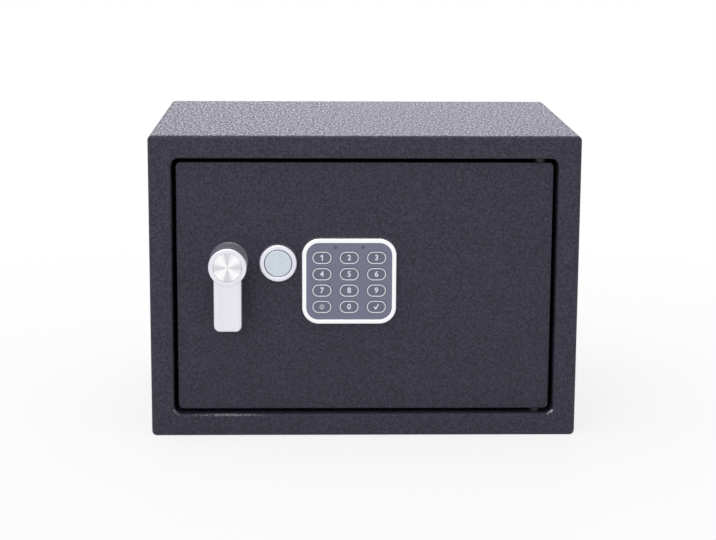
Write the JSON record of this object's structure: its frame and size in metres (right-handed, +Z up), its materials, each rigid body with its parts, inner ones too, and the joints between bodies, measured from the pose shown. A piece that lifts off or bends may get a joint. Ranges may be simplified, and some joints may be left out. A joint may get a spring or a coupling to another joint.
{
  "type": "electronic safe",
  "caption": "Compact steel safe with a hinged flush door, keypad lock, lever handle that slides round bolts, and a covered emergency key lock.",
  "frame": {"origin": "centre of the cabinet's underside, where it stands", "axes": "+Z up, front with the door towards -Y, +X to the right seen from the front"},
  "size_m": [0.35, 0.275, 0.25],
  "materials": {
    "shell_paint": "dark grey speckled powder coat",
    "inner_paint": "dark grey powder coat",
    "door_paint": "dark grey speckled powder coat",
    "felt": "black felt",
    "zinc_steel": "zinc plated",
    "white_plastic": "nylon",
    "satin_metal": "satin silver",
    "spun_metal": "radially spun",
    "bright_metal": "bright satin silver",
    "badge_satin": "blue grey satin",
    "brass": "turned",
    "black_plastic": "moulded",
    "keypad_grey": "satin grey",
    "key_grey": "satin grey with white outline",
    "rubber_mat": "soft",
    "board_green": "circuit board",
    "lamp_lens": "dark lens",
    "coil_tape": "tape over copper",
    "cell_wrap": "plain wrap",
    "bolt_chrome": "polished",
    "red_plastic": "moulded"
  },
  "bodies": {
    "cabinet": {"cabinet_wrap": "shell_paint", "back_panel": "shell_paint", "strike_plate": "inner_paint", "hinge_plates": "inner_paint", "floor_mat": "felt"},
    "door": {"door_plate": "door_paint", "hinge_knuckles": "zinc_steel", "hinge_pins": "zinc_steel", "hinge_washers": "black_plastic", "handle_rosette": "satin_metal", "spindle_bush": "brass", "lock_bezel": "satin_metal", "lock_cylinder": "brass", "lock_nut": "brass", "keypad_bezel": "bright_metal", "keypad_base": "black_plastic", "keypad_face": "keypad_grey", "key_mat": "rubber_mat", "keypad_board": "board_green", "status_lamps": "lamp_lens", "keypad_screws": "zinc_steel", "carriage_studs": "zinc_steel", "solenoid_frame": "zinc_steel", "solenoid_coil": "coil_tape", "plunger_spring": "zinc_steel", "inner_cover": "inner_paint", "cover_screws": "zinc_steel", "cover_posts": "zinc_steel", "battery_box": "black_plastic", "battery_contacts": "zinc_steel", "batteries": "cell_wrap", "reset_switch": "black_plastic"},
    "handle": {"lever_handle": "satin_metal", "handle_cap": "spun_metal", "handle_spindle": "zinc_steel", "crank_disc": "zinc_steel", "crank_screw": "zinc_steel"},
    "bolts": {"bolt_carriage": "zinc_steel", "live_bolts": "bolt_chrome", "bolt_screws": "zinc_steel"},
    "lock_cover_body": {"lock_cover": "badge_satin"},
    "lock_plug_body": {"lock_plug": "brass", "lock_cam": "zinc_steel", "lock_cam_screw": "zinc_steel"},
    "key_1_body": {"key_1": "key_grey"},
    "key_2_body": {"key_2": "key_grey"},
    "key_3_body": {"key_3": "key_grey"},
    "key_4_body": {"key_4": "key_grey"},
    "key_5_body": {"key_5": "key_grey"},
    "key_6_body": {"key_6": "key_grey"},
    "key_7_body": {"key_7": "key_grey"},
    "key_8_body": {"key_8": "key_grey"},
    "key_9_body": {"key_9": "key_grey"},
    "key_set_body": {"key_set": "key_grey"},
    "key_0_body": {"key_0": "key_grey"},
    "key_enter_body": {"key_enter": "key_grey"},
    "plunger_body": {"solenoid_plunger": "zinc_steel"},
    "battery_lid_body": {"battery_lid": "black_plastic"},
    "reset_button_body": {"reset_button": "red_plastic"}
  },
  "joints": [
    {"name": "door_swing", "type": "hinge", "parent": "cabinet", "child": "door", "pos_m": [0.1425, -0.1135, 0.125], "axis": [0, 0, 1], "range_deg": [0, 110]},
    {"name": "handle_turn", "type": "hinge", "parent": "door", "child": "handle", "pos_m": [-0.1105, -0.1205, 0.147], "axis": [0, 1, 0], "range_deg": [0, 90]},
    {"name": "bolts_slide", "type": "slide", "parent": "door", "child": "bolts", "axis": [-1, 0, 0], "range_m": [0, 0.018]},
    {"name": "lock_cover_pull", "type": "slide", "parent": "door", "child": "lock_cover_body", "axis": [0, -1, 0], "range_m": [0, 0.025]},
    {"name": "lock_turn", "type": "hinge", "parent": "door", "child": "lock_plug_body", "pos_m": [-0.0704, -0.1205, 0.1457], "axis": [0, 1, 0], "range_deg": [0, 90]},
    {"name": "key_1_press", "type": "slide", "parent": "door", "child": "key_1_body", "axis": [0, 1, 0], "range_m": [0, 0.0008], "stiffness_N_per_m": 800},
    {"name": "key_2_press", "type": "slide", "parent": "door", "child": "key_2_body", "axis": [0, 1, 0], "range_m": [0, 0.0008], "stiffness_N_per_m": 800},
    {"name": "key_3_press", "type": "slide", "parent": "door", "child": "key_3_body", "axis": [0, 1, 0], "range_m": [0, 0.0008], "stiffness_N_per_m": 800},
    {"name": "key_4_press", "type": "slide", "parent": "door", "child": "key_4_body", "axis": [0, 1, 0], "range_m": [0, 0.0008], "stiffness_N_per_m": 800},
    {"name": "key_5_press", "type": "slide", "parent": "door", "child": "key_5_body", "axis": [0, 1, 0], "range_m": [0, 0.0008], "stiffness_N_per_m": 800},
    {"name": "key_6_press", "type": "slide", "parent": "door", "child": "key_6_body", "axis": [0, 1, 0], "range_m": [0, 0.0008], "stiffness_N_per_m": 800},
    {"name": "key_7_press", "type": "slide", "parent": "door", "child": "key_7_body", "axis": [0, 1, 0], "range_m": [0, 0.0008], "stiffness_N_per_m": 800},
    {"name": "key_8_press", "type": "slide", "parent": "door", "child": "key_8_body", "axis": [0, 1, 0], "range_m": [0, 0.0008], "stiffness_N_per_m": 800},
    {"name": "key_9_press", "type": "slide", "parent": "door", "child": "key_9_body", "axis": [0, 1, 0], "range_m": [0, 0.0008], "stiffness_N_per_m": 800},
    {"name": "key_set_press", "type": "slide", "parent": "door", "child": "key_set_body", "axis": [0, 1, 0], "range_m": [0, 0.0008], "stiffness_N_per_m": 800},
    {"name": "key_0_press", "type": "slide", "parent": "door", "child": "key_0_body", "axis": [0, 1, 0], "range_m": [0, 0.0008], "stiffness_N_per_m": 800},
    {"name": "key_enter_press", "type": "slide", "parent": "door", "child": "key_enter_body", "axis": [0, 1, 0], "range_m": [0, 0.0008], "stiffness_N_per_m": 800},
    {"name": "plunger_rise", "type": "slide", "parent": "door", "child": "plunger_body", "axis": [0, 0, 1], "range_m": [0, 0.006], "deforming": ["plunger_spring"]},
    {"name": "battery_lid_pull", "type": "slide", "parent": "door", "child": "battery_lid_body", "axis": [0, 1, 0], "range_m": [0, 0.03]},
    {"name": "reset_press", "type": "slide", "parent": "door", "child": "reset_button_body", "axis": [0, -1, 0], "range_m": [0, 0.0015], "stiffness_N_per_m": 800}
  ],
  "couplings": [
    {"joint": "bolts_slide", "follows": "handle_turn", "m_per_rad": 0.011459}
  ]
}
